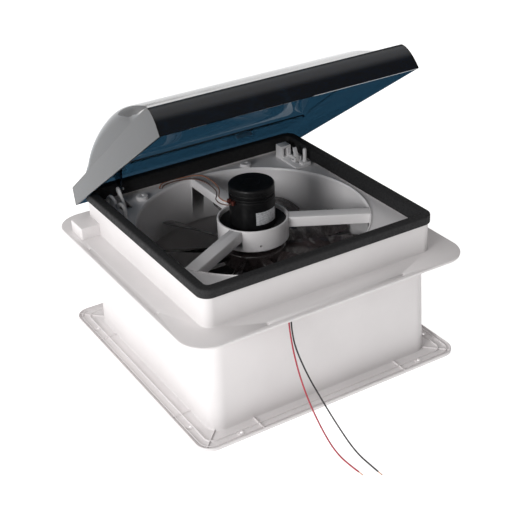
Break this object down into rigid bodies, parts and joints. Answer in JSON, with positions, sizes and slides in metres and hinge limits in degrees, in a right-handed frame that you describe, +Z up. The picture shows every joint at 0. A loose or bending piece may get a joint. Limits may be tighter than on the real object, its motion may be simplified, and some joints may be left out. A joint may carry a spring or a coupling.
{
  "type": "powered roof vent",
  "caption": "Square powered roof vent for a caravan: white housing and ceiling garnish, fan on three spokes, and a hinged smoked lid that a knob opens.",
  "frame": {"origin": "middle of the garnish's room face, the lowest plane, under the middle of the square roof flange", "axes": "+X along the front, -Y towards the lid's free edge (front), +Z up through the roof"},
  "size_m": [0.428, 0.574, 0.4241],
  "materials": {
    "white_abs": "satin moulded",
    "seal_foam": "closed-cell foam",
    "smoked_acrylic": "gloss, smoked",
    "smoked_blade": "gloss, smoked",
    "motor_black": "satin black",
    "steel": "zinc plated",
    "label_silver": "blank silver film",
    "copper": "bare",
    "red_lead": "PVC",
    "black_lead": "PVC",
    "nylon_white": "satin",
    "screen_mesh": "woven glass-fibre mesh",
    "switch_black": "satin"
  },
  "bodies": {
    "housing": {"bare_end_black": "copper", "bare_end_red": "copper", "ceiling_garnish": "white_abs", "crank_axle": "steel", "deck_screw_1": "steel", "deck_screw_2": "steel", "deck_screw_3": "steel", "deck_screw_4": "steel", "fan_switch_body": "switch_black", "gear_housing": "white_abs", "guide_post": "nylon_white", "hinge_bracket_left": "white_abs", "hinge_bracket_right": "white_abs", "hinge_pin_left": "steel", "hinge_pin_right": "steel", "insect_screen": "screen_mesh", "lead_grommet": "seal_foam", "lid_switch_body": "nylon_white", "motor_can": "motor_black", "motor_damper": "seal_foam", "motor_end_cap": "motor_black", "motor_label": "label_silver", "motor_lead_black": "black_lead", "motor_lead_red": "red_lead", "motor_screw_1": "steel", "motor_screw_2": "steel", "motor_screw_3": "steel", "motor_spider": "white_abs", "motor_terminal_black": "copper", "motor_terminal_red": "copper", "neck_seal": "seal_foam", "power_lead_black": "black_lead", "power_lead_red": "red_lead", "roof_base": "white_abs", "screen_frame": "white_abs", "screen_screw_1": "steel", "screen_screw_2": "steel", "screen_screw_3": "steel", "screen_screw_4": "steel", "shroud_deck": "white_abs", "shroud_duct": "white_abs", "switch_lever_pin": "steel"},
    "lid": {"lid_shell": "smoked_acrylic", "lid_hinge_leaf_left": "white_abs", "lid_hinge_leaf_right": "white_abs"},
    "crank": {"lift_crank": "nylon_white", "worm_wheel": "nylon_white"},
    "link": {"lift_link": "nylon_white"},
    "knob": {"opener_knob": "white_abs", "knob_shaft": "steel", "worm": "steel"},
    "fan": {"fan_impeller": "smoked_blade", "motor_shaft": "steel", "hub_nut": "steel"},
    "switch_lever": {"lid_switch_lever": "nylon_white"},
    "rocker": {"fan_switch_rocker": "switch_black"}
  },
  "joints": [
    {"name": "lid_hinge", "type": "hinge", "parent": "housing", "child": "lid", "pos_m": [0, 0.182, 0.195], "axis": [-1, 0, 0], "range_deg": [-34.4, 0]},
    {"name": "crank_pivot", "type": "hinge", "parent": "housing", "child": "crank", "pos_m": [0, 0.158, 0.165], "axis": [-1, 0, 0], "range_deg": [-34.4, 0]},
    {"name": "link_pivot", "type": "hinge", "parent": "crank", "child": "link", "pos_m": [0, 0.13099, 0.17998], "axis": [-1, 0, 0], "range_deg": [0, 34.4]},
    {"name": "knob_turn", "type": "hinge", "parent": "housing", "child": "knob", "pos_m": [-0.1165, 0.1438, 0.1], "axis": [0, 0, 1], "range_deg": [-825.6, 0]},
    {"name": "fan_spin", "type": "hinge", "parent": "housing", "child": "fan", "pos_m": [0, 0, 0.14], "axis": [0, 0, 1], "continuous": true},
    {"name": "switch_lever_pivot", "type": "hinge", "parent": "housing", "child": "switch_lever", "pos_m": [0.147, 0.1185, 0.1975], "axis": [1, 0, 0], "range_deg": [0, 8], "stiffness_Nm_per_rad": 0.02, "springref_deg": -17.19},
    {"name": "rocker_tilt", "type": "hinge", "parent": "housing", "child": "rocker", "pos_m": [0.141, -0.147, 0.025], "axis": [0, 1, 0], "range_deg": [-10, 10]}
  ],
  "couplings": [
    {"joint": "crank_pivot", "follows": "lid_hinge", "ratio": 1},
    {"joint": "link_pivot", "follows": "lid_hinge", "ratio": -1},
    {"joint": "knob_turn", "follows": "lid_hinge", "ratio": 24}
  ]
}
